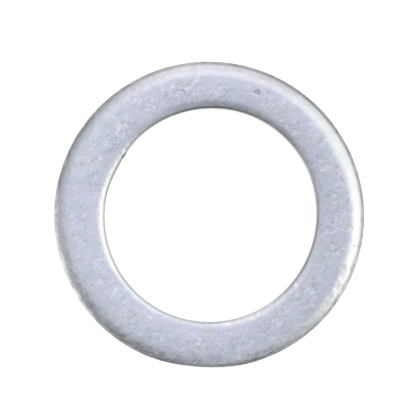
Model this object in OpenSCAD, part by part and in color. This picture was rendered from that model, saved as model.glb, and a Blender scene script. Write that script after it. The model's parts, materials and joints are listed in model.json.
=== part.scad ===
// Aluminium sealing washer: a flat ring stamped from soft sheet and tumbled.
// The punch rolls both upper edges over into soft shoulders, shears a short straight land below
// them, and breaks the rest of the way through the sheet. So both walls lean inwards at the foot,
// and the lower edges are nearly sharp. The ring lies on its lower face, with its axis on Z.

/* [Ring] */

// Outside diameter, across the sheared land
outer_d = 17.8; // [17:0.1:24]

// Bore diameter, across the sheared land
bore_d = 12.3; // [10:0.1:13]

// Thickness of the sheet
thickness = 1.5; // [1.2:0.1:2.5]

/* [Rolled upper edges] */

// How far the outer shoulder reaches in over the upper face
outer_roll_w = 1.0; // [0.5:0.05:1]

// How far the outer shoulder drops down the outside wall
outer_roll_h = 0.55; // [0.3:0.05:0.6]

// How far the bore's shoulder reaches out over the upper face
bore_roll_w = 0.5; // [0.4:0.05:0.8]

// How far the bore's shoulder drops down the bore's wall
bore_roll_h = 0.25; // [0.2:0.05:0.5]

/* [Broken lower walls] */

// Height of the broken part of both walls, measured from the lower face
break_h = 0.45; // [0.3:0.05:0.5]

// How far the broken part of each wall leans in at the lower face
break_w = 0.05; // [0.02:0.01:0.08]

// How far both lower edges are worn back across the lower face
lower_edge_w = 0.12; // [0.1:0.01:0.2]

// How far both lower edges are worn up the walls
lower_edge_h = 0.07; // [0.03:0.01:0.07]

/* [Hidden] */

$fn = 180;

// The angle at which a worn edge leaves the face beside it
lead_in = 3;

// How far a cut reaches past the metal
clear = 1;

outer_r = outer_d / 2;
bore_r = bore_d / 2;

// Lean of the broken walls, as their run for each unit of height
break_lean = break_w / break_h;

// What a worn edge has lost, for metal that fills the quarter below and left of the origin, with a
// wall that may lean outwards as it goes down. The arc starts on the face, edge_w before the edge,
// and runs out on the wall, edge_h below it.
module lost_edge(edge_w, edge_h, lean = 0) {
    run = edge_w + edge_h * lean;
    arc_r = (run ^ 2 + edge_h ^ 2) / (2 * (edge_h * cos(lead_in) - run * sin(lead_in)));
    arc_x = edge_w + arc_r * sin(lead_in);
    arc_y = arc_r * cos(lead_in);
    translate([-arc_x, -arc_y])
        difference() {
            square([arc_x + clear, arc_y + clear]);
            circle(r = arc_r);
        }
}

// The sheared strip before its edges wear: straight lands, with both walls leaning in below them.
module sheared_strip() {
    polygon([
        [bore_r + break_w, 0],
        [outer_r - break_w, 0],
        [outer_r, break_h],
        [outer_r, thickness],
        [bore_r, thickness],
        [bore_r, break_h],
    ]);
}

// Section of the ring on the right of its axis.
module ring_section() {
    difference() {
        sheared_strip();
        translate([outer_r, thickness])
            lost_edge(outer_roll_w, outer_roll_h);
        translate([bore_r, thickness])
            mirror([1, 0])
                lost_edge(bore_roll_w, bore_roll_h);
        translate([outer_r - break_w, 0])
            mirror([0, 1])
                lost_edge(lower_edge_w, lower_edge_h, break_lean);
        translate([bore_r + break_w, 0])
            rotate(180)
                lost_edge(lower_edge_w, lower_edge_h, break_lean);
    }
}

module sealing_washer() {
    color([0.78, 0.8, 0.85])
        rotate_extrude()
            ring_section();
}

sealing_washer();
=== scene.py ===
# Looks of the stamped aluminium sealing washer, in metres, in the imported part's own frame.
import json
import math

import bpy
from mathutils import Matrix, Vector


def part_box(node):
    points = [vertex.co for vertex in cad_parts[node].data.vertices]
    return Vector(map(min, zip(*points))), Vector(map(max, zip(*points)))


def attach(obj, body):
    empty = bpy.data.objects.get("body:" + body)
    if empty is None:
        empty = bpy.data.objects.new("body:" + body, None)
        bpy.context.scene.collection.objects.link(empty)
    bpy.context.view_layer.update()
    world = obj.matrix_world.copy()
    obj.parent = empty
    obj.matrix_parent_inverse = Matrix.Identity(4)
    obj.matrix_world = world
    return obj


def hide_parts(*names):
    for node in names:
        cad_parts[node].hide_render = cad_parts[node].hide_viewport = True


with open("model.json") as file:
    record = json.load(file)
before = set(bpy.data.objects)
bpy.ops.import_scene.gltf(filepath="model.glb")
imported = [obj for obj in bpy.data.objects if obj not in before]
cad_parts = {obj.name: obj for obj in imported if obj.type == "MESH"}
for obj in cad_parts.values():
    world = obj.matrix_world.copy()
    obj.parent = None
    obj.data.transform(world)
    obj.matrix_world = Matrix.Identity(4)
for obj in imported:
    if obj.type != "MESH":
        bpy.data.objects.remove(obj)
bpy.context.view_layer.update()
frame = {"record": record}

MM = 0.001
FULL_TURN = 360

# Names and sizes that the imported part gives
NODE = "sealing_washer"
BODY = "root"
LOW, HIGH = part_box(NODE)
OUTER_R = HIGH.x
THICKNESS = HIGH.z - LOW.z
BORE = next(m for m in frame["record"]["mounts"] if m["name"] == "bore")
BORE_R = BORE["dims"]["r_mm"] * MM
BORE_LAND = BORE["dims"]["length_mm"] * MM
BREAK_H = BORE["pos_m"][2] - BORE_LAND / 2
BORE_ROLL_H = THICKNESS - BREAK_H - BORE_LAND

# Sizes of the rolled and worn edges, the same as the part's source has
OUTER_ROLL_W = 1.0 * MM
OUTER_ROLL_H = 0.55 * MM
BORE_ROLL_W = 0.5 * MM
BREAK_W = 0.05 * MM
LOWER_EDGE_W = 0.12 * MM
LOWER_EDGE_H = 0.07 * MM
LEAD_IN = math.radians(3)

# How finely the ring is divided, and how near two points are that close a seam
STEPS_ROUND = 1080
UPPER_FACE_STEPS = 34
OUTER_ROLL_STEPS = 22
BORE_ROLL_STEPS = 15
WALL_STEPS = 2
LOWER_EDGE_STEPS = 2
LOWER_FACE_STEPS = 5
SEAM = 1e-7

# Where the washer lies in the 420 pixel frame
FRAME_PX = 420
RING_CENTRE_PX = (209.05, 215.3)
RING_WIDTH_PX = 308.6
METRES_PER_PX = 2 * OUTER_R / RING_WIDTH_PX
CAMERA_HEIGHT = 0.12
CAMERA_NEAR = 1 * MM
SENSOR_MM = 36

# Marks that the photograph shows, in millimetres from the ring's middle: where each begins and ends,
# half its width, its depth, and its tone, from -1 for dirt to 1 for bare bright metal
MARKS = [
    ((2.62, 7.03), (2.86, 7.03), 0.18, 0.035, -0.45),
    ((2.79, 6.92), (2.80, 7.14), 0.17, 0.035, -0.65),
    ((2.74, 6.86), (2.86, 6.84), 0.05, 0.006, 0.8),
    ((-1.55, 7.19), (-1.42, 7.11), 0.10, 0.012, -1.0),
    ((-1.36, 7.22), (-1.03, 7.36), 0.05, 0.008, 0.9),
    ((-1.03, 7.38), (-0.86, 7.56), 0.04, 0.005, 0.7),
    ((-1.66, 7.36), (-1.62, 7.34), 0.05, 0.005, 0.8),
    ((-0.76, 6.90), (-0.68, 6.84), 0.04, 0.005, -0.5),
    ((0.40, 7.12), (0.40, 7.06), 0.05, 0.005, 0.8),
    ((1.30, 6.36), (1.40, 6.36), 0.05, 0.005, 0.6),
    ((-0.88, 7.62), (-0.60, 7.72), 0.04, 0.005, 0.8),
    ((-0.86, 8.52), (-0.80, 8.50), 0.06, 0.014, -0.6),
    ((3.68, 6.36), (3.78, 6.30), 0.05, 0.010, 0.9),
    ((3.56, 6.30), (3.60, 6.22), 0.04, 0.005, -0.5),
    ((-3.64, 6.74), (-3.30, 6.82), 0.04, 0.005, 0.7),
    ((-3.66, 6.70), (-3.52, 6.48), 0.04, 0.005, 0.5),
    ((-2.24, 7.06), (-2.16, 7.06), 0.06, 0.006, 0.7),
    ((-3.60, 6.66), (-3.50, 6.46), 0.05, 0.008, -0.5),
    ((-3.86, 6.24), (-3.98, 6.02), 0.05, 0.007, -0.5),
    ((-5.02, 4.84), (-4.66, 5.06), 0.04, 0.005, 0.7),
    ((-5.94, 5.98), (-5.78, 6.12), 0.05, 0.010, -0.6),
    ((-6.00, 5.86), (-5.62, 6.22), 0.04, 0.005, 0.7),
    ((-5.98, 5.66), (-5.70, 5.86), 0.04, 0.005, 0.6),
    ((-6.68, 4.44), (-6.04, 4.74), 0.035, 0.004, 0.5),
    ((-5.38, 4.16), (-5.34, 4.50), 0.05, 0.006, -0.4),
    ((-6.98, 3.10), (-6.86, 3.16), 0.05, 0.005, 0.8),
    ((-7.88, -0.53), (-7.03, 0.12), 0.035, 0.004, 0.6),
    ((-7.62, -0.44), (-7.48, -0.34), 0.05, 0.007, -0.5),
    ((-5.48, -4.36), (-5.25, -4.18), 0.045, 0.007, 1.0),
    ((-4.62, -5.98), (-4.16, -5.60), 0.045, 0.007, -0.5),
    ((-4.46, -6.04), (-4.00, -5.74), 0.04, 0.005, 0.5),
    ((-3.62, -6.50), (-3.62, -6.38), 0.05, 0.006, 0.8),
    ((-5.28, -6.20), (-5.18, -6.16), 0.05, 0.005, 0.8),
    ((-4.82, -5.98), (-4.74, -5.94), 0.05, 0.005, 0.7),
    ((-0.42, -7.60), (-0.24, -7.44), 0.04, 0.006, 0.6),
    ((0.16, -7.24), (0.36, -7.04), 0.05, 0.008, -0.6),
    ((-0.15, -6.50), (-0.15, -6.22), 0.05, 0.010, 0.2),
    ((2.48, -5.92), (2.74, -5.90), 0.07, 0.006, 0.35),
    ((2.62, -6.20), (3.25, -6.78), 0.035, 0.004, -0.4),
    ((5.76, -4.44), (6.28, -4.36), 0.04, 0.005, 0.9),
    ((5.90, -4.58), (6.02, -4.36), 0.04, 0.005, 0.7),
    ((5.72, -5.40), (5.90, -5.52), 0.05, 0.008, -0.5),
    ((8.33, -1.77), (8.41, -1.75), 0.06, 0.014, -0.8),
    ((7.72, -3.05), (7.62, -3.52), 0.26, 0.012, -0.24),
    ((7.40, -4.00), (7.30, -4.45), 0.22, 0.008, -0.10),
    ((6.80, -5.00), (7.00, -4.72), 0.24, 0.004, -0.25),
    ((8.18, -3.14), (8.42, -2.42), 0.14, 0.003, -0.45),
    ((7.68, -4.20), (7.85, -3.88), 0.14, 0.003, -0.60),
    ((7.11, -5.11), (7.45, -4.60), 0.14, 0.003, -0.55),
    ((0.65, -8.62), (1.20, -8.56), 0.22, 0.003, -0.40),
    ((-0.20, -8.47), (0.25, -8.47), 0.26, 0.002, 0.35),
    ((1.50, -8.28), (1.95, -8.20), 0.28, 0.002, 0.25),
    ((-6.94, -4.98), (-6.72, -5.34), 0.18, 0.004, -0.50),
    ((-5.28, -6.72), (-4.92, -6.94), 0.26, 0.004, -0.70),
    ((-4.08, -7.44), (-3.48, -7.68), 0.24, 0.004, -0.48),
    ((-2.92, -8.22), (-2.66, -8.32), 0.16, 0.004, -0.40),
    ((-1.86, -8.52), (-1.50, -8.60), 0.16, 0.004, -0.35),
    ((2.80, -7.94), (3.60, -7.66), 0.26, 0.003, -0.55),
    ((-0.75, -7.60), (-0.15, -7.66), 0.25, 0.002, -0.32),
    ((0.95, 6.74), (-0.10, 6.84), 0.30, 0.002, -0.18),
    ((-0.45, 6.66), (-1.85, 6.84), 0.28, 0.002, -0.17),
    ((2.40, 6.18), (2.66, 6.06), 0.25, 0.002, 0.22),
    ((-3.60, -5.30), (-5.08, -6.78), 0.06, 0.004, -0.25),
    ((-7.50, -3.15), (-7.36, -3.60), 0.30, 0.002, 0.14),
    ((5.35, -5.58), (5.72, -5.52), 0.30, 0.002, -0.28),
    ((4.95, -6.80), (5.60, -6.52), 0.25, 0.002, -0.20),
    ((-6.10, 3.85), (-5.95, 3.55), 0.28, 0.002, -0.18),
    ((-5.05, 5.35), (-4.96, 5.10), 0.25, 0.002, -0.18),
    ((6.32, 1.95), (6.48, 1.45), 0.28, 0.002, -0.14),
    ((7.05, -5.05), (7.18, -4.90), 0.20, 0.002, -0.15),
    # Painted glint: a small groove, made bright to stand for light caught on it
    ((4.96, -3.96), (5.10, -4.04), 0.10, 0.004, 0.6),
    ((5.15, -4.95), (5.42, -4.78), 0.26, 0.002, 0.20),
    ((7.42, -0.74), (7.72, -0.48), 0.24, 0.002, 0.20),
    ((5.90, 3.00), (6.12, 2.55), 0.28, 0.002, -0.20),
    ((4.50, 5.35), (4.78, 5.10), 0.26, 0.002, -0.18),
    ((3.40, -5.20), (3.60, -5.10), 0.09, 0.004, 0.5),
    ((0.86, -6.22), (1.20, -6.24), 0.10, 0.004, 0.3),
    ((7.42, -4.76), (7.50, -4.70), 0.06, 0.010, 0.3),
    ((6.70, -0.30), (7.40, 0.02), 0.035, 0.004, 0.4),
    ((7.00, -0.42), (7.66, -0.16), 0.035, 0.004, -0.4),
    ((7.02, -1.96), (7.22, -1.76), 0.04, 0.006, 0.7),
]

# Places where scratches gather, as a direction in degrees and a distance from the middle in millimetres
SCUFFS = [
    (357, 7.2), (351, 6.8), (3, 7.7), (344, 7.3), (325, 7.3), (304, 7.3), (297, 7.5), (316, 7.8),
    (284, 7.7), (264, 7.4), (246, 7.7), (235, 7.4), (216, 6.8), (203, 7.2), (163, 7.0), (152, 7.3),
    (144, 6.9), (134, 6.9), (118, 6.9), (106, 7.3), (98, 7.2), (84, 6.9), (47, 6.9), (36, 7.6),
    (27, 7.3), (13, 7.6),
]

# Where the bore has a burr, in degrees from +X towards +Y
BURR_TURN = 145

# How far the metal is turned over, from 0 along the face to 1 along a wall, where an edge begins and
# where it is full
EDGE_TURN = (0.03, 0.30)

# Shares of the thickness between which wear sets in, and between which the bore's roll is made shallow
WORN_HEIGHT = (0.3, 0.6)
SHALLOW_HEIGHT = (0.5, 0.8)

# Shares of the way from the bore to the outside: where the two uneven rolls meet, and between which the
# shallow roll runs out
ROLLS_MEET = 0.4
SHALLOW_REACH = (0.2, 0.4)

# Lines are dropped on the ring from above it. A groove's lip starts and ends at these shares of the
# groove's half width, and is this share of its depth high.
DROP_FROM = 1 * MM
DROP_LENGTH = 3 * MM
LIP_START = 0.5
LIP_END = 2
LIP_HEIGHT = 0.2

# Ranges of chance for the scratches: two shares of their full length, which multiply, shares of their
# half width and of their depth, and their tone. They lie only where the upward part of the normal is
# above FACING_UP.
SCRATCH_LENGTHS = (0.2, 1.0)
SCRATCH_CUTS = (0.3, 1.0)
SCRATCH_WIDTHS = (0.6, 1.7)
SCRATCH_DEPTHS = (0.2, 1.0)
SCRATCH_TONES = (-0.44, 0.42)
FACING_UP = 0.965


def blend(share, first, second):
    """Blends two numbers."""
    return first + (second - first) * share


class Wire:
    """A node's output. Arithmetic on wires adds Math nodes, or Vector Math nodes for vectors."""

    def __init__(self, board, socket):
        self.board = board
        self.socket = socket

    def __add__(self, other):
        return self.board.math("ADD", self, other)

    def __radd__(self, other):
        return self.board.math("ADD", other, self)

    def __sub__(self, other):
        return self.board.math("SUBTRACT", self, other)

    def __rsub__(self, other):
        return self.board.math("SUBTRACT", other, self)

    def __mul__(self, other):
        return self.board.math("MULTIPLY", self, other)

    def __rmul__(self, other):
        return self.board.math("MULTIPLY", other, self)

    def __truediv__(self, other):
        return self.board.math("DIVIDE", self, other)

    def __rtruediv__(self, other):
        return self.board.math("DIVIDE", other, self)


class Board:
    """A node tree, with the ways that nodes are added to it."""

    def __init__(self, tree):
        self.tree = tree

    def add(self, kind, settings=(), sockets=(), out=0):
        """Adds a node, its settings first and then its sockets, and gives one of its outputs."""
        node = self.tree.nodes.new(kind)
        for name, value in dict(settings).items():
            setattr(node, name, value)
        for key, value in dict(sockets).items():
            self.plug(node.inputs[key], value)
        return Wire(self, node.outputs[out])

    def plug(self, socket, value):
        """Links a wire to a socket, or sets the socket to a plain value."""
        if isinstance(value, Wire):
            self.tree.links.new(value.socket, socket)
        else:
            socket.default_value = value

    def math(self, operation, *operands):
        vector = any(isinstance(x, Wire) and x.socket.type in ("VECTOR", "RGBA") for x in operands)
        if vector:
            operands = [x if isinstance(x, (Wire, tuple)) else (x, x, x) for x in operands]
        kind = "ShaderNodeVectorMath" if vector else "ShaderNodeMath"
        return self.add(kind, {"operation": operation}, enumerate(operands))

    def length(self, vector):
        return self.add("ShaderNodeVectorMath", {"operation": "LENGTH"}, {0: vector}, "Value")

    def split(self, vector):
        axes = self.add("ShaderNodeSeparateXYZ", (), {0: vector}).socket.node.outputs
        return [Wire(self, axis) for axis in axes]

    def join(self, x, y, z):
        return self.add("ShaderNodeCombineXYZ", (), {0: x, 1: y, 2: z})

    def turn(self, x, y):
        """The direction of a place, from 0 to 1 round from +X towards +Y."""
        return self.math("FRACT", self.math("ARCTAN2", y, x) / math.tau + 1)

    def step(self, value, start, end):
        """Goes smoothly from 0 at start to 1 at end."""
        settings = {"interpolation_type": "SMOOTHSTEP"}
        return self.add("ShaderNodeMapRange", settings, {0: value, 1: start, 2: end, 3: 0.0, 4: 1.0})

    def evenly(self, value, start, end):
        """Goes evenly from 0 at start to 1 at end."""
        return self.add("ShaderNodeMapRange", (), {0: value, 1: start, 2: end, 3: 0.0, 4: 1.0})

    def mix(self, share, first, second):
        """Blends two colours."""
        return self.add("ShaderNodeMix", {"data_type": "RGBA"}, {0: share, 6: first, 7: second}, 2)

    def noise(self, place, scale, detail=2.0, roughness=0.5):
        """A noise from 0 to 1."""
        sockets = {"Vector": place, "Scale": scale, "Detail": detail, "Roughness": roughness}
        return self.add("ShaderNodeTexNoise", (), sockets)

    def sway(self, place, size, detail=2.0, roughness=0.5):
        """A noise from -1 to 1, in patches of a size."""
        return (self.noise(place, 1 / size, detail, roughness) - 0.5) * 2

    def cells(self, place, scale):
        """Scattered cells: the distance to the nearest one's middle, and a random number for it."""
        near = self.add("ShaderNodeTexVoronoi", (), {"Vector": place, "Scale": scale}, "Distance")
        colour = Wire(self, near.socket.node.outputs["Color"])
        return near, self.split(colour)[0]

    def ramp(self, value, stops):
        """A colour for each stop, and blends of them between."""
        colour = self.add("ShaderNodeValToRGB", (), {0: value}, "Color")
        elements = colour.socket.node.color_ramp.elements
        while len(elements) < len(stops):
            elements.new(0.5)
        for element, (position, shade) in zip(elements, stops):
            element.position = position
            element.color = (*shade, 1)
        return colour

    def all_round(self, turn, colours):
        """Blends colours listed by their direction in degrees, all the way round."""
        stops = [(degrees / FULL_TURN, colour) for degrees, colour in colours]
        return self.ramp(turn, [*stops, (1.0, stops[0][1])])

    def kept(self, name):
        """A number kept on the mesh's points, for a shader."""
        return self.add("ShaderNodeAttribute", {"attribute_name": name}, (), "Fac")

    def named(self, name):
        """A number kept on a geometry's points or edges, for geometry nodes."""
        settings = {"data_type": "FLOAT"}
        return self.add("GeometryNodeInputNamedAttribute", settings, {"Name": name}, "Attribute")

    def keep(self, geometry, name, value, domain="POINT"):
        """Keeps a number on a geometry's points or edges."""
        settings = {"data_type": "FLOAT", "domain": domain}
        sockets = {"Geometry": geometry, "Name": name, "Value": value}
        return self.add("GeometryNodeStoreNamedAttribute", settings, sockets)

    def pick(self, geometry, value, index, kind="FLOAT", domain="POINT"):
        """The value that one point or edge of a geometry has."""
        settings = {"data_type": kind, "domain": domain}
        sockets = {"Geometry": geometry, "Value": value, "Index": index}
        return self.add("GeometryNodeSampleIndex", settings, sockets)

    def move(self, geometry, offset):
        return self.add("GeometryNodeSetPosition", (), {"Geometry": geometry, "Offset": offset})

    def chance(self, low, high, seed):
        """A random number for each element."""
        return self.add("FunctionNodeRandomValue", {"data_type": "FLOAT"}, {2: low, 3: high, 8: seed}, 1)


def worn_edge(corner, face, wall, edge_w, edge_h, lean, steps):
    """Points of a worn edge, from the face to the wall, each with how far the metal is turned over
    there, from 0 along the face to 1 along the wall. face and wall point away from the corner."""
    run = edge_w + edge_h * lean
    radius = (run**2 + edge_h**2) / (2 * (edge_h * math.cos(LEAD_IN) - run * math.sin(LEAD_IN)))
    back = edge_w + radius * math.sin(LEAD_IN)
    down = radius * math.cos(LEAD_IN)
    last = math.atan2(run + radius * math.sin(LEAD_IN), down - edge_h)
    points = []
    for i in range(steps + 1):
        turn = LEAD_IN + (last - LEAD_IN) * i / steps
        inward = face * (back - radius * math.sin(turn))
        point = corner + inward + wall * (down - radius * math.cos(turn))
        points.append((point, turn / (math.pi / 2)))
    return points


def stretch(start, end, turned, steps):
    """Points between two ends, without the ends themselves, all turned over as far."""
    return [(start.lerp(end, i / steps), turned) for i in range(1, steps)]


def ring_section():
    """The closed outline of the ring's section on the XZ plane, each point with how far it is turned."""
    lean = BREAK_W / BREAK_H
    out, back = Vector((1, 0, 0)), Vector((-1, 0, 0))
    up, down = Vector((0, 0, 1)), Vector((0, 0, -1))
    outer_roll = worn_edge(
        Vector((OUTER_R, 0, THICKNESS)), back, down, OUTER_ROLL_W, OUTER_ROLL_H, 0, OUTER_ROLL_STEPS)
    bore_roll = worn_edge(
        Vector((BORE_R, 0, THICKNESS)), out, down, BORE_ROLL_W, BORE_ROLL_H, 0, BORE_ROLL_STEPS)
    outer_foot = worn_edge(
        Vector((OUTER_R - BREAK_W, 0, 0)), back, up, LOWER_EDGE_W, LOWER_EDGE_H, lean, LOWER_EDGE_STEPS)
    bore_foot = worn_edge(
        Vector((BORE_R + BREAK_W, 0, 0)), out, up, LOWER_EDGE_W, LOWER_EDGE_H, lean, LOWER_EDGE_STEPS)
    outer_break = Vector((OUTER_R, 0, BREAK_H))
    bore_break = Vector((BORE_R, 0, BREAK_H))
    return [
        *outer_roll,
        *stretch(outer_roll[-1][0], outer_break, 1.0, WALL_STEPS),
        (outer_break, 1.0),
        *stretch(outer_break, outer_foot[-1][0], 1.0, WALL_STEPS),
        *reversed(outer_foot),
        *stretch(outer_foot[0][0], bore_foot[0][0], 0.0, LOWER_FACE_STEPS),
        *bore_foot,
        *stretch(bore_foot[-1][0], bore_break, 1.0, WALL_STEPS),
        (bore_break, 1.0),
        *stretch(bore_break, bore_roll[-1][0], 1.0, WALL_STEPS),
        *reversed(bore_roll),
        *stretch(bore_roll[0][0], outer_roll[0][0], 0.0, UPPER_FACE_STEPS),
    ]


# Inputs of the tree that sweeps the section round and wears it: what it works with, and its sizes
RING_THINGS = {
    "Section": "NodeSocketGeometry",
    "Marks": "NodeSocketObject",
    "Scuffs": "NodeSocketObject",
    "Finish": "NodeSocketMaterial",
}
RING_SIZES = {
    "Steps round": STEPS_ROUND,
    "Bore radius": BORE_R,
    "Outer radius": OUTER_R,
    "Thickness": THICKNESS,
    "Face start": BORE_ROLL_W / (OUTER_R - BORE_R),
    "Face end": 1 - OUTER_ROLL_W / (OUTER_R - BORE_R),
    "Crown": 0.025 * MM,
    "Bore shift": (0.087 * MM, 0.009 * MM, 0.0),
    "Outer oval": 0.045 * MM,
    "Outer oval turn": math.radians(178),
    "Outer lobes": 0.018 * MM,
    "Outer lobes turn": math.radians(99),
    "Bore oval": 0.046 * MM,
    "Bore oval turn": math.radians(60),
    "Flat turn": math.radians(265),
    "Flat half width": math.radians(21),
    "Flat depth": 0.08 * MM,
    "Knock turn": math.radians(152),
    "Knock half width": math.radians(20),
    "Knock depth": 0.08 * MM,
    "Knock widening": 0.75,
    "Burr turn": math.radians(BURR_TURN),
    "Burr half width": math.radians(2.5),
    "Burr depth": 0.035 * MM,
    "Edge wander size": 2.5 * MM,
    "Edge wander": 0.12 * MM,
    "Outer roll widening": 0.03 * MM,
    "Outer roll widening turn": math.radians(15),
    "Bore roll widening": 0.10 * MM,
    "Bore roll widening turn": math.radians(50),
    "Bore roll bulge turn": math.radians(258),
    "Bore roll bulge half width": math.radians(42),
    "Bore roll bulge depth": 0.14 * MM,
    "Bore roll deep turn": math.radians(70),
    "Bore roll shallowness": 0.5,
    "Swell size": 0.9 * MM,
    "Swell depth": 0.014 * MM,
    "Dent size": 0.28 * MM,
    "Dent depth": 0.003 * MM,
    "Edge dent depth": 0.010 * MM,
    "Seed": 7,
    "Scratch density": 52 / MM**2,
    "Stray scratch density": 6 / MM**2,
    "Scuff reach": 0.75 * MM,
    "Scratch length": 0.42 * MM,
    "Scratch turn": math.radians(33),
    "Scratch spread": math.radians(75),
    "Scratch bend": 0.25 * MM,
    "Mark bend": 0.08 * MM,
    "Bend size": 0.35 * MM,
    "Scratch half width": 0.05 * MM,
    "Scratch depth": 0.007 * MM,
}
SIZE_SOCKETS = {int: "NodeSocketInt", float: "NodeSocketFloat", tuple: "NodeSocketVector"}


def worn_ring_tree():
    """Geometry nodes that sweep a section round the Z axis, and leave it out of round, dented and
    marked."""
    tree = bpy.data.node_groups.new("worn_ring", "GeometryNodeTree")
    size_kinds = {name: SIZE_SOCKETS[type(value)] for name, value in RING_SIZES.items()}
    for name, kind in {**RING_THINGS, **size_kinds}.items():
        tree.interface.new_socket(name, in_out="INPUT", socket_type=kind)
    tree.interface.new_socket("Ring", in_out="OUTPUT", socket_type="NodeSocketGeometry")
    board = Board(tree)
    given = tree.nodes.new("NodeGroupInput").outputs
    section, finish = [Wire(board, given[name]) for name in ("Section", "Finish")]
    size = {name: Wire(board, given[name]) for name in RING_SIZES}
    marks, scuffs = [
        board.add("GeometryNodeObjectInfo", (), {"Object": Wire(board, given[name])}, "Geometry")
        for name in ("Marks", "Scuffs")]
    ring = swept_ring(board, section, size)
    ring = tumbled_ring(board, ring, size)
    ring = marked_ring(board, ring, marks, scuffs, size)
    ring = board.add("GeometryNodeSetShadeSmooth", (), {"Geometry": ring})
    ring = board.add("GeometryNodeRealizeInstances", (), {"Geometry": ring})
    ring = board.add("GeometryNodeSetMaterial", (), {"Geometry": ring, "Material": finish})
    board.plug(tree.nodes.new("NodeGroupOutput").inputs["Ring"], ring)
    return tree


def upper(board, height, size, shares):
    """0 below the first of two shares of the thickness, and 1 above the second."""
    start, end = shares
    return board.step(height, size["Thickness"] * start, size["Thickness"] * end)


def swept_ring(board, section, size):
    """The section swept round: a grid with a column for each step round and a row for each point."""
    count = board.add(
        "GeometryNodeAttributeDomainSize", {"component": "MESH"}, {0: section}, "Point Count")
    grid = board.add("GeometryNodeMeshGrid", (), {
        "Size X": 1.0, "Size Y": 1.0, "Vertices X": size["Steps round"] + 1, "Vertices Y": count + 1})
    across, along, _ = board.split(board.add("GeometryNodeInputPosition"))
    turn = (0.5 - across) * math.tau
    row = board.math("MODULO", board.math("ROUND", (along + 0.5) * count), count)
    place = board.pick(section, board.add("GeometryNodeInputPosition"), row, "FLOAT_VECTOR")
    reach, _, height = board.split(place)
    grid = board.keep(grid, "turned", board.pick(section, board.named("turned"), row))

    def waves(name, number):
        """A size that comes and goes a number of times round the ring, and is greatest at its turn."""
        return size[name] * board.math("COSINE", number * (turn - size[name + " turn"]))

    def spot(name):
        """A depth that is greatest at its turn, and gone a half width away."""
        away = board.math("ABSOLUTE", turn - size[name + " turn"])
        return size[name + " depth"] * (1 - board.step(away, 0.0, size[name + " half width"]))

    def swung(radius, height):
        """The place at a radius and a height, turned to where the column is."""
        return board.join(radius * board.math("COSINE", turn), radius * board.math("SINE", turn), height)

    # Out of round: each wall is oval in its own direction, the outside also has three faint lobes, one
    # place on the outside is knocked flat, and one on the bore is knocked in and has a burr
    outward = (reach - size["Bore radius"]) / (size["Outer radius"] - size["Bore radius"])
    inward = 1 - outward
    knock = spot("Knock")
    outer = waves("Outer oval", 2) + waves("Outer lobes", 3) - spot("Flat") * outward
    bore = waves("Bore oval", 2) - (knock + spot("Burr")) * inward
    radius = reach + outward * outer + inward * bore

    # Uneven rolls: where each roll begins wanders, each is wider on one side, and the bore's bulges in
    # one more place, is wider where the bore is knocked in, and is shallow on one side
    wander = board.sway(swung(radius, height), size["Edge wander size"], detail=4.0, roughness=0.62)
    wander = wander * size["Edge wander"]
    bore_creep = wander + waves("Bore roll widening", 1) + spot("Bore roll bulge")
    bore_creep = bore_creep + knock * size["Knock widening"]
    outer_creep = wander - waves("Outer roll widening", 1)
    on_bore, on_outer = [
        board.math("SINE", board.step(outward, wall, ROLLS_MEET) * math.pi) for wall in (0.0, 1.0)]
    creep = bore_creep * on_bore + outer_creep * on_outer
    radius = radius + creep * upper(board, height, size, WORN_HEIGHT)
    shallow = (1 - board.math("COSINE", turn - size["Bore roll deep turn"])) / 2
    shallow = shallow * size["Bore roll shallowness"] * (1 - board.step(outward, *SHALLOW_REACH))
    lift = (size["Thickness"] - height) * shallow
    height = height + lift * upper(board, height, size, SHALLOW_HEIGHT)

    # Crowned: the upper face is a little lower at both rolls than in the middle
    over_face = board.evenly(outward, size["Face start"], size["Face end"]) * 2 - 1
    drop = over_face * over_face * size["Crown"]
    height = height - drop * upper(board, height, size, WORN_HEIGHT)

    # Off centre: the bore's side of the ring is shifted
    place = swung(radius, height) + size["Bore shift"] * inward
    ring = board.add("GeometryNodeSetPosition", (), {"Geometry": grid, "Position": place})
    return board.add("GeometryNodeMergeByDistance", (), {"Geometry": ring, "Distance": SEAM})


def tumbled_ring(board, ring, size):
    """The ring as tumbling leaves it: broad swells, small dents, and deeper dents on rolled edges."""
    here = board.add("GeometryNodeInputPosition")
    swells = board.sway(here, size["Swell size"]) * size["Swell depth"]
    edge = board.step(board.named("turned"), *EDGE_TURN)
    dent_depth = size["Dent depth"] + edge * size["Edge dent depth"]
    dents = board.sway(here, size["Dent size"], detail=1.0) * dent_depth
    worn = upper(board, board.split(here)[2], size, WORN_HEIGHT)
    return board.move(ring, board.add("GeometryNodeInputNormal") * ((swells + dents) * worn))


def marked_ring(board, ring, marks, scuffs, size):
    """The ring with its grooves: listed marks, and scratches, most of them round the scuffs."""
    here = board.add("GeometryNodeInputPosition")
    sockets = {0: scuffs, "Sample Position": here}
    away = board.add("GeometryNodeProximity", {"target_element": "POINTS"}, sockets, "Distance")
    ring = board.keep(ring, "scuffed", 1 - board.step(away, 0.0, size["Scuff reach"]))
    sockets = {"Vector": here, "Scale": 1 / size["Bend size"]}
    bend = (board.add("ShaderNodeTexNoise", (), sockets, "Color") - 0.5) * (1, 1, 0)
    scratches = scratch_lines(board, ring, size)
    scratch_tone, scratch_rise = grooves(board, scratches, ring, here + bend * size["Scratch bend"])
    mark_tone, mark_rise = grooves(board, marks, ring, here + bend * size["Mark bend"])
    ring = board.keep(ring, "mark", scratch_tone + mark_tone)
    return board.move(ring, board.add("GeometryNodeInputNormal") * (scratch_rise + mark_rise))


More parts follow.
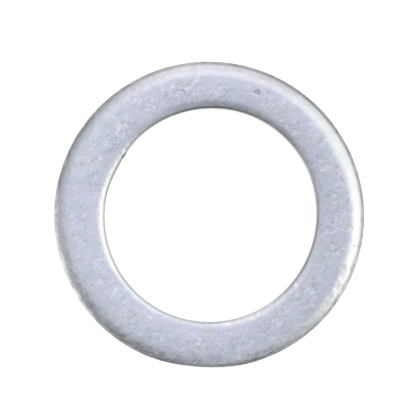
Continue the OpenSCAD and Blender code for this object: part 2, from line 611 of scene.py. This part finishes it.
def grooves(board, lines, ring, here):
    """The tone and the height of grooves along lines, once the lines are dropped on the ring."""
    place = board.add("GeometryNodeInputPosition")
    hit = board.add("GeometryNodeRaycast", (), {
        "Target Geometry": ring, "Source Position": place + (0, 0, DROP_FROM),
        "Ray Direction": (0, 0, -1), "Ray Length": DROP_LENGTH}, "Hit Position")
    struck = Wire(board, hit.socket.node.outputs["Is Hit"])
    sockets = {"Geometry": lines, "Selection": struck, "Position": hit}
    lines = board.add("GeometryNodeSetPosition", (), sockets)
    sockets = {0: lines, "Sample Position": here}
    away = board.add("GeometryNodeProximity", {"target_element": "EDGES"}, sockets, "Distance")
    nearest = board.add("GeometryNodeSampleNearest", {"domain": "EDGE"}, sockets)
    width, depth, tone = [
        board.pick(lines, board.named(name), nearest, domain="EDGE")
        for name in ("width", "depth", "tone")]
    groove = 1 - board.step(away, 0.0, width)
    lip = board.step(away, width * LIP_START, width) * (1 - board.step(away, width, width * LIP_END))
    return groove * tone, (lip * LIP_HEIGHT - groove) * depth


def scratch_lines(board, ring, size):
    """Scratches scattered over the upper face, most of them round the scuffed places."""
    upward = board.split(board.add("GeometryNodeInputNormal"))[2]
    spots = board.add("GeometryNodeDistributePointsOnFaces", (), {
        "Mesh": ring, "Selection": board.math("GREATER_THAN", upward, FACING_UP), "Seed": size["Seed"],
        "Density": size["Scratch density"] * board.named("scuffed") + size["Stray scratch density"]})
    line = board.add(
        "GeometryNodeMeshLine", {"mode": "END_POINTS"},
        {"Count": 2, "Start Location": (-0.5, 0, 0), "Offset": (0.5, 0, 0)})
    astray = board.chance(-1.0, 1.0, seed=1) * board.chance(0.0, 1.0, seed=2)
    turn = size["Scratch turn"] + astray * size["Scratch spread"]
    length = board.chance(*SCRATCH_LENGTHS, seed=3) * board.chance(*SCRATCH_CUTS, seed=4)
    length = length * size["Scratch length"]
    scratches = board.add("GeometryNodeInstanceOnPoints", (), {
        "Points": spots, "Instance": line, "Rotation": board.join(0.0, 0.0, turn),
        "Scale": board.join(length, 1.0, 1.0)})
    scratches = board.add("GeometryNodeRealizeInstances", (), {"Geometry": scratches})
    width = size["Scratch half width"] * board.chance(*SCRATCH_WIDTHS, seed=5)
    depth = size["Scratch depth"] * board.chance(*SCRATCH_DEPTHS, seed=6)
    tone = board.chance(*SCRATCH_TONES, seed=7)
    for name, value in (("width", width), ("depth", depth), ("tone", tone)):
        scratches = board.keep(scratches, name, value, "EDGE")
    return scratches


def placed_marks():
    """The listed marks, as a mesh of lines at the height of the upper face."""
    starts, ends, widths, depths, tones = zip(*MARKS)
    points = [(x * MM, y * MM, THICKNESS) for pair in zip(starts, ends) for x, y in pair]
    mesh = bpy.data.meshes.new("placed_marks")
    mesh.from_pydata(points, [(i, i + 1) for i in range(0, len(points), 2)], [])
    for name, values, unit in (("width", widths, MM), ("depth", depths, MM), ("tone", tones, 1)):
        kept = mesh.attributes.new(name, "FLOAT", "EDGE")
        kept.data.foreach_set("value", [value * unit for value in values])
    return bpy.data.objects.new("placed_marks", mesh)


def placed_scuffs():
    """The scuffed places, as loose points on the upper face."""
    mesh = bpy.data.meshes.new("placed_scuffs")
    turns = [(math.radians(direction), distance * MM) for direction, distance in SCUFFS]
    mesh.from_pydata([(r * math.cos(a), r * math.sin(a), THICKNESS) for a, r in turns], [], [])
    return bpy.data.objects.new("placed_scuffs", mesh)


def link(obj):
    """Puts an object in the scene."""
    bpy.context.scene.collection.objects.link(obj)
    return obj


def make_plain(obj, tree, values):
    """Runs a geometry node tree on an object, which keeps the result as a plain mesh."""
    modifier = obj.modifiers.new(tree.name, "NODES")
    modifier.node_group = tree
    for item in tree.interface.items_tree:
        if item.in_out == "INPUT" and item.name in values:
            modifier[item.identifier] = values[item.name]
    evaluated = obj.evaluated_get(bpy.context.evaluated_depsgraph_get())
    mesh = bpy.data.meshes.new_from_object(evaluated)
    obj.modifiers.remove(modifier)
    obj.data = mesh


# Colours of the metal: tints of the tumbled face, its rubbed strokes, tints of the burnished edges, and
# tarnish round the bore
LAVENDER = (0.609, 0.612, 0.784, 1)
COOL_GREY = (0.568, 0.624, 0.730, 1)
WARM_GREY = (0.615, 0.623, 0.712, 1)
RUBBED = (0.80, 0.80, 0.83, 1)
BURNISHED = (0.735, 0.76, 0.82, 1)
LILAC = (0.763, 0.76, 0.857, 1)
STEEL_BLUE = (0.71, 0.76, 0.853, 1)
TARNISH = (0.28, 0.335, 0.36, 1)

# How pale the rims and walls are in the directions listed: the walls' own colour, with painted shade
# where they are darker and painted reflection where they are paler, and how much red and blue they have
# for their green
OUTER_RIM_PAINTED_LIGHT = [
    (0, 0.50), (20, 0.44), (45, 0.33), (62, 0.35), (95, 0.47), (122, 0.38), (150, 0.32), (168, 0.34),
    (182, 0.65), (197, 0.72), (211, 0.74), (226, 0.36), (242, 0.29), (256, 0.23), (272, 0.28),
    (285, 0.25), (302, 0.37), (318, 0.46), (332, 0.60)]
BORE_RIM_PAINTED_LIGHT = [
    (0, 0.60), (22, 0.92), (42, 0.64), (62, 0.54), (78, 0.33), (90, 0.22), (105, 0.30), (122, 0.43),
    (138, 0.43), (150, 0.33), (165, 0.36), (182, 0.47), (225, 0.50), (255, 0.58), (270, 0.50),
    (290, 0.70), (300, 0.76), (316, 0.62), (332, 0.50)]
OUTER_RIM_RED = 0.97
BORE_RIM_RED = 0.96
RIM_BLUE = 1.06

# Where the finish and the painted shade change round the ring: a direction from +X towards +Y, a half
# width and a fade beyond it, in degrees, and a strength. The front is towards -Y and the back towards
# +Y.
EARLY_POLISH_LEFT = (177, 29, 10, 1.0)
EARLY_POLISH_FRONT = (305, 20, 15, 1.0)
POOR_POLISH = (245, 20, 20, 0.6)
BORE_LILAC = (284, 34, 14, 0.8)
OUTER_LILAC = (105, 30, 20, 1.0)
BLUE_LEFT = (156, 14, 20, 1.0)
BLUE_FRONT = (258, 28, 20, 1.0)
TARNISH_RIGHT = (55, 25, 25, 0.08)
TARNISH_BACK = (91, 12, 18, 0.56)
LIP_TARNISH = (124, 14, 12, 0.4)
FACE_STAIN = (150, 16, 14, 0.13)
# Painted shade: towards the front the outer rim's painted dark shade begins sooner
FRONT_SHADE = (256, 26, 16, 1.0)
BURR_SHADE = (BURR_TURN, 0.2, 2.6, 0.5)
# Edges more mottled towards these directions; the outer one is also darker there with painted shade
BORE_EDGE_MOTTLE = (62, 45, 20, 0.5)
OUTER_EDGE_MOTTLE_AND_SHADE = (252, 44, 25, 1.0)
CLOUD = (120, 45, 20, 0.4)
SOFT_LEFT = (203, 16, 12, 0.07)
SOFT_FRONT = (268, 18, 12, 0.056)

# Millimetres from the middle where the outer half begins and is full, and where the stain on the face
# begins and is full. Heights in millimetres where the shade at the burr begins and is full.
OUTER_HALF = (7.2, 7.6)
STAIN_REACH = (7.1, 6.7)
BURR_SHADE_HEIGHT = (0.4, 1.1)

# How far the metal is turned over where each part of the finish begins and where it is full
POLISH_TURN = (0.15, 0.40)
EARLY_POLISH_TURN = EDGE_TURN
TARNISH_TURN = (0.0, 0.06)
TARNISH_PATCH_TURN = (0.0, 0.26)
LIP_TURN = (0.15, 0.35)
# The rims' painted light and shade begins and is full at these three; towards the front the outer rim's
# begins sooner, where its painted shade is deepest
BORE_RIM_TURN = (0.38, 0.50)
OUTER_RIM_TURN = (0.40, 0.52)
FRONT_SHADED_RIM_TURN = (0.37, 0.50)

# How much the blotches move where the tarnish, the lip and the rims begin, and how much they change the
# tone of the outer rim and its lilac
TARNISH_BLOTCH = 0.5
LIP_BLOTCH = 0.2
BORE_RIM_BLOTCH = 0.06
OUTER_RIM_BLOTCH = 0.14
OUTER_RIM_TONE_BLOTCH = 1.4
OUTER_LILAC_BLOTCH = 3.0

# Shares of the tints that lie over others
WARM_SHARE = 0.7
LILAC_SHARE = 0.8
RUBBED_SHARE = 0.28

# Tone of the metal, which multiplies its colour, and what each thing adds to it. The slopes are painted
# shading, lighter towards -X and -Y, for each millimetre along X and Y.
PLAIN_TONE = 0.996
PATCH_TONE = 0.18
MOTTLE_TONE = 0.06
FLECK_TONE = 0.12
MARK_TONE = 0.46
SCRAPE_TONE = 0.14
SMEAR_TONE = -0.18
# Painted shade on the outer roll towards the front
OUTER_EDGE_PAINTED_SHADE = -0.025
PAINTED_SHADE_SLOPE_X = -0.009
PAINTED_SHADE_SLOPE_Y = -0.002

# How much less the mottle shows on an edge, and how much more on the edges towards the listed directions
EDGE_CALM = 0.65
EDGE_MOTTLE_BOOST = 3.4

# Where in the noise the warm tint and the two layers of strokes lie, so that each has its own pattern
WARM_TINT_AT = (20, 0, 0)
SCRAPES_AT = (30, 0, 0)
SMEARS_AT = (60, 0, 0)

# Values of the noise at which each thing begins and at which it is full. A stroke's are its distance
# from the noise's middle, and a fleck's size is in cells.
COOL_PATCHES = (0.35, 0.65)
WARM_PATCHES = (0.45, 0.65)
MOTTLE = (0.3, 0.7)
BRIGHT_FLECKS = (0.75, 0.95)
DARK_FLECKS = (0.25, 0.05)
FLECK_SIZE = (0.22, 0.05)
STROKE_WIDTH = (0.06, 0.015)
STROKE_PATCHES = (0.56, 0.64)
SCUFF_STROKES = 0.09
HAIRLINES = (0.55, 0.75)

# The way that the face is brushed, and how finely strokes and hairlines lie along it and over it
BRUSHED_TURN = math.radians(36)
STROKE_FINENESS = (0.7, 1.4)
HAIR_FINENESS = (1.5, 9.0)

# How rough the metal is, what patches, marks and edges add, and the bumps of its grain
PLAIN_ROUGHNESS = 0.26
PATCH_ROUGHNESS = 0.14
MARK_ROUGHNESS = -0.05
EDGE_ROUGHNESS = -0.1
GRAIN_STRENGTH = 0.6
GRAIN_HEIGHT = 0.004 * MM


class Surface:
    """What the finish knows about each place on the metal, with lengths in millimetres."""

    def __init__(self, board):
        self.board = board
        self.place = board.add("ShaderNodeTexCoord", out="Object") * (1 / MM)
        self.x, self.y, self.z = board.split(self.place)
        self.along = self.x * math.cos(BRUSHED_TURN) + self.y * math.sin(BRUSHED_TURN)
        self.over = self.y * math.cos(BRUSHED_TURN) - self.x * math.sin(BRUSHED_TURN)
        self.turn = board.turn(self.x, self.y)
        self.reach = board.length(board.join(self.x, self.y, 0.0))
        self.outside = board.step(self.reach, *OUTER_HALF)
        self.inside = 1 - self.outside
        self.turned = board.kept("turned")
        self.edge = board.step(self.turned, *EDGE_TURN)
        self.face = 1 - self.edge
        self.mark = board.kept("mark")
        self.scuffed = board.kept("scuffed")
        self.blotch = board.noise(self.place, scale=2.2, detail=4.0, roughness=0.65) - 0.5
        # Edges more mottled in two directions, the outer one also with painted shade
        edge_mottle_and_shade = blend(self.outside, self.towards(*BORE_EDGE_MOTTLE), self.towards(*OUTER_EDGE_MOTTLE_AND_SHADE))
        self.edge_mottle_and_shade = edge_mottle_and_shade * self.edge
        self.mottled = 1 - self.edge * EDGE_CALM + self.edge_mottle_and_shade * EDGE_MOTTLE_BOOST

    def brushed(self, along, over):
        """The place along and over the way that the face is brushed, each made so much finer."""
        return self.board.join(self.along * along, self.over * over, self.z)

    def towards(self, direction, half_width, fade, strength):
        """A strength in one direction, fading to 0 beyond a half width, all in degrees."""
        apart = self.board.math("WRAP", self.turn - direction / FULL_TURN, 0.5, -0.5)
        start = half_width / FULL_TURN
        end = (half_width + fade) / FULL_TURN
        return (1 - self.board.step(self.board.math("ABSOLUTE", apart), start, end)) * strength


def clean_metal(here):
    """Clean metal: tints that drift in patches over the face, and other tints where it is burnished."""
    board = here.board
    cool = board.step(board.noise(here.place, scale=1.0, detail=4.0), *COOL_PATCHES)
    warm = board.noise(here.place + WARM_TINT_AT, scale=0.8, detail=3.0)
    warm = board.step(warm, *WARM_PATCHES)
    face = board.mix(cool, LAVENDER, COOL_GREY)
    face = board.mix(warm * WARM_SHARE, face, WARM_GREY)
    lilac = blend(here.outside, here.towards(*BORE_LILAC), here.towards(*OUTER_LILAC))
    lilac = lilac * (LILAC_SHARE + here.blotch * here.outside * OUTER_LILAC_BLOTCH)
    blue = (here.towards(*BLUE_LEFT) + here.towards(*BLUE_FRONT)) * here.outside
    bright = board.mix(blue, board.mix(lilac, BURNISHED, LILAC), STEEL_BLUE)
    early = here.towards(*EARLY_POLISH_LEFT) + here.towards(*EARLY_POLISH_FRONT)
    early = here.outside + early * here.inside
    start, end = [blend(early, late, soon) for late, soon in zip(POLISH_TURN, EARLY_POLISH_TURN)]
    burnished = board.step(here.turned, start, end) * (1 - here.towards(*POOR_POLISH) * here.inside)
    return board.mix(burnished, face, bright)


def tarnished(here, metal):
    """Metal with tarnish in patches on the back of the bore's roll, on its lip, and as a faint stain on
    the face beside it."""
    board = here.board
    rolled = board.step(here.turned, *TARNISH_TURN)
    patchy = board.step(here.turned + here.blotch * TARNISH_BLOTCH, *TARNISH_PATCH_TURN)
    roll = board.math("MAXIMUM", here.towards(*TARNISH_RIGHT), here.towards(*TARNISH_BACK))
    roll = roll * here.inside * rolled * patchy
    lip = board.step(here.turned + here.blotch * LIP_BLOTCH, *LIP_TURN)
    lip = lip * here.towards(*LIP_TARNISH) * here.inside
    stain = here.towards(*FACE_STAIN) * board.step(here.reach, *STAIN_REACH) * here.face
    most = board.math("MAXIMUM", roll, board.math("MAXIMUM", lip, stain))
    return board.mix(most, metal, TARNISH)


def with_painted_rim_light(here, metal):
    """Metal with its rims and walls: painted shade in some directions and at the burr, painted
    reflection in others.
    """
    board = here.board
    # Painted light and shade: each rim's paleness is listed by direction, darker for shade and paler for
    # reflection
    outer_rim_painted_light, bore_rim_painted_light = [
        board.all_round(here.turn, [(at, (pale * red, pale, pale * RIM_BLUE)) for at, pale in rim])
        for rim, red in ((OUTER_RIM_PAINTED_LIGHT, OUTER_RIM_RED), (BORE_RIM_PAINTED_LIGHT, BORE_RIM_RED))]
    rim = board.mix(here.outside, bore_rim_painted_light, outer_rim_painted_light)
    rim = rim * (1 + here.blotch * here.outside * OUTER_RIM_TONE_BLOTCH)
    burr = here.towards(*BURR_SHADE) * here.inside * board.step(here.z, *BURR_SHADE_HEIGHT)
    rim = rim * (1 - burr)
    # Painted shade: towards the front the outer rim's painted shade reaches further in
    front_shade = here.towards(*FRONT_SHADE)
    start, end = [
        blend(here.outside, bore, blend(front_shade, outer, front_shaded))
        for bore, outer, front_shaded in zip(BORE_RIM_TURN, OUTER_RIM_TURN, FRONT_SHADED_RIM_TURN)]
    ragged = here.blotch * blend(here.outside, BORE_RIM_BLOTCH, OUTER_RIM_BLOTCH)
    return board.mix(board.step(here.turned + ragged, start, end), metal, rim)


def strokes(here, shift):
    """Fine curling strokes on the face, most of them where it is scuffed. Each follows a line of equal
    height in a noise."""
    board = here.board
    place = here.brushed(*STROKE_FINENESS) + shift
    height = board.noise(place, scale=3.2, detail=2.0, roughness=0.6) - 0.5
    stroke = board.step(board.math("ABSOLUTE", height), *STROKE_WIDTH)
    gathered = board.noise(place, scale=1.9, detail=2.0) + here.scuffed * SCUFF_STROKES
    return stroke * board.step(gathered, *STROKE_PATCHES) * here.face


def metal_tone(here, scrapes, smears):
    """Tone: painted shading that slopes across the face, broad patches, a fine mottle, flecks where the
    metal is rubbed or dirty, marks and strokes, clouds on the outer roll, painted shade on the outer
    roll towards the front, and two duller places on the bore's."""
    board = here.board
    patches = board.noise(here.place, scale=1.3, detail=2.0) - 0.5
    mottle = board.noise(here.place, scale=5.0, detail=3.0, roughness=0.65)
    mottle = board.step(mottle, *MOTTLE) - 0.5
    away, pick = board.cells(here.place, scale=3.6)
    fleck = board.step(pick, *BRIGHT_FLECKS) - board.step(pick, *DARK_FLECKS)
    fleck = fleck * board.step(away, *FLECK_SIZE)
    texture = patches * PATCH_TONE + mottle * MOTTLE_TONE + fleck * FLECK_TONE
    clouds = here.blotch * here.towards(*CLOUD) * here.outside * here.edge
    soft = board.math("MAXIMUM", here.towards(*SOFT_LEFT), here.towards(*SOFT_FRONT))
    soft = soft * here.inside * here.edge
    # Painted shading: the tone slopes lighter towards -X and -Y
    tone = PLAIN_TONE + here.x * PAINTED_SHADE_SLOPE_X + here.y * PAINTED_SHADE_SLOPE_Y
    # The last term is painted shade on the outer roll towards the front
    tone = tone + texture * here.mottled + clouds - soft + here.edge_mottle_and_shade * here.outside * OUTER_EDGE_PAINTED_SHADE
    return tone + here.mark * MARK_TONE + scrapes * SCRAPE_TONE + smears * SMEAR_TONE


def grain_normal(here):
    """The normal over a fine grain and hairlines that run mostly one way."""
    board = here.board
    hairs = board.noise(here.brushed(*HAIR_FINENESS), scale=1.0, detail=1.0)
    hairs = board.step(hairs, *HAIRLINES)
    grain = board.noise(here.place, scale=8.0, detail=2.0, roughness=0.6)
    return board.add("ShaderNodeBump", (), {
        "Strength": GRAIN_STRENGTH, "Distance": GRAIN_HEIGHT,
        "Height": (grain + hairs) * here.mottled}, "Normal")


def tumbled_aluminium():
    """Satin aluminium with a mottled, finely scratched face, burnished edges, and painted light and
    shade.
    """
    material = bpy.data.materials.new("tumbled_aluminium")
    material.use_nodes = True
    board = Board(material.node_tree)
    here = Surface(board)
    scrapes = strokes(here, SCRAPES_AT)
    smears = strokes(here, SMEARS_AT)
    metal = with_painted_rim_light(here, tarnished(here, clean_metal(here)))
    rubbed = (board.math("MAXIMUM", here.mark, 0.0) + scrapes) * RUBBED_SHARE
    metal = board.mix(rubbed, metal, RUBBED) * metal_tone(here, scrapes, smears)
    roughness = PLAIN_ROUGHNESS + board.noise(here.place, scale=2.5, detail=3.0) * PATCH_ROUGHNESS
    roughness = roughness + here.mark * MARK_ROUGHNESS + here.edge * EDGE_ROUGHNESS
    shader = material.node_tree.nodes["Principled BSDF"]
    board.plug(shader.inputs["Base Color"], metal)
    board.plug(shader.inputs["Roughness"], roughness)
    board.plug(shader.inputs["Normal"], grain_normal(here))
    shader.inputs["Metallic"].default_value = 1.0
    return material


def washer():
    """The washer as one closed mesh."""
    points, turned = zip(*ring_section())
    mesh = bpy.data.meshes.new("washer_section")
    mesh.from_pydata(points, [(i, (i + 1) % len(points)) for i in range(len(points))], [])
    mesh.attributes.new("turned", "FLOAT", "POINT").data.foreach_set("value", turned)
    obj = link(bpy.data.objects.new("washer", mesh))
    marks = placed_marks()
    scuffs = placed_scuffs()
    things = {"Finish": tumbled_aluminium(), "Marks": marks, "Scuffs": scuffs}
    make_plain(obj, worn_ring_tree(), {**RING_SIZES, **things})
    bpy.data.objects.remove(marks)
    bpy.data.objects.remove(scuffs)
    return obj


# The floor: half its width, how far it lies below the washer, its own grey, and what it gives off to the
# camera and to mirrors, where 1 is white
FLOOR_HALF = 1.0
FLOOR_DROP = 0.01 * MM
FLOOR_GREY = 0.8
FLOOR_ROUGHNESS = 0.9
FLOOR_GLOW = 0.64
FLOOR_GLOW_IN_METAL = 0.25


def floor():
    """A white floor that keeps the washer's shadow."""
    corners = [(-1, -1), (1, -1), (1, 1), (-1, 1)]
    mesh = bpy.data.meshes.new("floor")
    mesh.from_pydata(
        [(x * FLOOR_HALF, y * FLOOR_HALF, -FLOOR_DROP) for x, y in corners], [], [(0, 1, 2, 3)])
    material = bpy.data.materials.new("white_floor")
    material.use_nodes = True
    board = Board(material.node_tree)
    shader = material.node_tree.nodes["Principled BSDF"]
    shader.inputs["Base Color"].default_value = (FLOOR_GREY, FLOOR_GREY, FLOOR_GREY, 1)
    shader.inputs["Roughness"].default_value = FLOOR_ROUGHNESS
    shader.inputs["Specular IOR Level"].default_value = 0.0
    path = material.node_tree.nodes.new("ShaderNodeLightPath").outputs
    camera_ray, glossy_ray, clear_ray = [
        Wire(board, path[name]) for name in ("Is Camera Ray", "Is Glossy Ray", "Is Transmission Ray")]
    glow = camera_ray * FLOOR_GLOW + board.math("MAXIMUM", glossy_ray, clear_ray) * FLOOR_GLOW_IN_METAL
    board.plug(shader.inputs["Emission Color"], board.join(glow, glow, glow))
    shader.inputs["Emission Strength"].default_value = 1.0
    mesh.materials.append(material)
    return link(bpy.data.objects.new("floor", mesh))


# Light from round the room: at each angle down from overhead, its brightness in the directions
# listed, in degrees from +X towards +Y
OVERHEAD = 0.925
ROOM = {
    25: [(0, 1.06), (15, 1.12), (45, 1.20), (75, 1.06), (100, 1.14), (120, 1.08), (150, 0.96),
         (180, 0.84), (205, 0.91), (230, 0.73), (243, 0.60), (256, 0.52), (275, 0.83), (300, 0.85),
         (315, 0.63), (335, 0.79), (348, 0.80)],
    36: [(0, 1.53), (15, 1.37), (30, 1.22), (72, 1.03), (97, 1.09), (120, 0.99), (135, 0.91),
         (155, 0.85), (185, 0.71), (205, 0.72), (220, 0.64), (243, 0.50), (256, 0.53), (270, 0.76),
         (300, 0.73), (315, 0.72), (330, 0.89), (345, 1.04)],
    50: [(0, 1.64), (15, 1.44), (35, 1.23), (72, 0.97), (97, 1.04), (135, 0.76), (155, 0.74),
         (185, 0.53), (220, 0.45), (245, 0.39), (270, 0.70), (305, 0.68), (330, 1.16), (345, 1.58)],
    85: [(0, 1.38), (25, 1.24), (45, 1.02), (60, 0.82), (100, 1.04), (130, 0.56), (150, 0.40),
         (185, 0.50), (215, 0.38), (250, 0.26), (272, 0.42), (290, 0.36), (315, 0.70), (330, 1.50)],
}

# Light turns warm above this brightness. It loses a share of its blue for each unit above it, and green
# loses a share of what blue does.
WARM_FROM = 0.9
BLUE_LOSS = 0.22
GREEN_LOSS = 0.15


def shine(brightness):
    """A colour of light, warmer where it is brighter."""
    warmth = max(0.0, brightness - WARM_FROM) * BLUE_LOSS
    return brightness, brightness * (1 - GREEN_LOSS * warmth), brightness * (1 - warmth)


def room():
    """Soft light from all round: even overhead, brightest on the right, and dim on the left and in
    front. The camera itself sees white."""
    world = bpy.data.worlds.new("room")
    world.use_nodes = True
    board = Board(world.node_tree)
    x, y, z = board.split(board.add("ShaderNodeTexCoord", out="Object"))
    turn = board.turn(x, y)
    zenith = board.math("ARCCOSINE", z)
    light = (*shine(OVERHEAD), 1)
    above = 0
    for below, around in ROOM.items():
        ring = board.all_round(turn, [(degrees, shine(brightness)) for degrees, brightness in around])
        down = board.evenly(zenith, math.radians(above), math.radians(below))
        light = board.mix(down, light, ring)
        above = below
    seen = board.add("ShaderNodeLightPath", out="Is Camera Ray")
    background = world.node_tree.nodes["Background"]
    board.plug(background.inputs["Color"], board.mix(seen, light, (1, 1, 1, 1)))
    bpy.context.scene.world = world


def softbox(name, azimuth, zenith, distance, width, height, radiance):
    """An oblong lamp aimed at the washer. In degrees, azimuth turns from +X towards +Y, and zenith down
    from +Z."""
    lamp = bpy.data.lights.new(name, "AREA")
    lamp.shape = "RECTANGLE"
    lamp.size = width
    lamp.size_y = height
    lamp.energy = radiance * math.pi * width * height
    obj = link(bpy.data.objects.new(name, lamp))
    round_z = math.radians(azimuth)
    down = math.radians(zenith)
    sideways = math.sin(down)
    aim = Vector((sideways * math.cos(round_z), sideways * math.sin(round_z), math.cos(down)))
    obj.location = aim * distance
    obj.rotation_euler = aim.to_track_quat("Z", "Y").to_euler()


def camera():
    """A camera that looks straight down, framed as the photograph is."""
    data = bpy.data.cameras.new("camera")
    data.sensor_width = SENSOR_MM
    data.lens = SENSOR_MM * CAMERA_HEIGHT / (FRAME_PX * METRES_PER_PX)
    data.clip_start = CAMERA_NEAR
    obj = link(bpy.data.objects.new("camera", data))
    middle = FRAME_PX / 2
    obj.location = (
        (middle - RING_CENTRE_PX[0]) * METRES_PER_PX,
        (RING_CENTRE_PX[1] - middle) * METRES_PER_PX,
        THICKNESS - OUTER_ROLL_H + CAMERA_HEIGHT,
    )
    bpy.context.scene.camera = obj


piece = washer()
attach(piece, BODY)
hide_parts(NODE)
floor()
room()
softbox("key", azimuth=70, zenith=36, distance=0.5, width=0.50, height=0.25, radiance=0.15)
camera()
bpy.context.scene.view_settings.view_transform = "Standard"
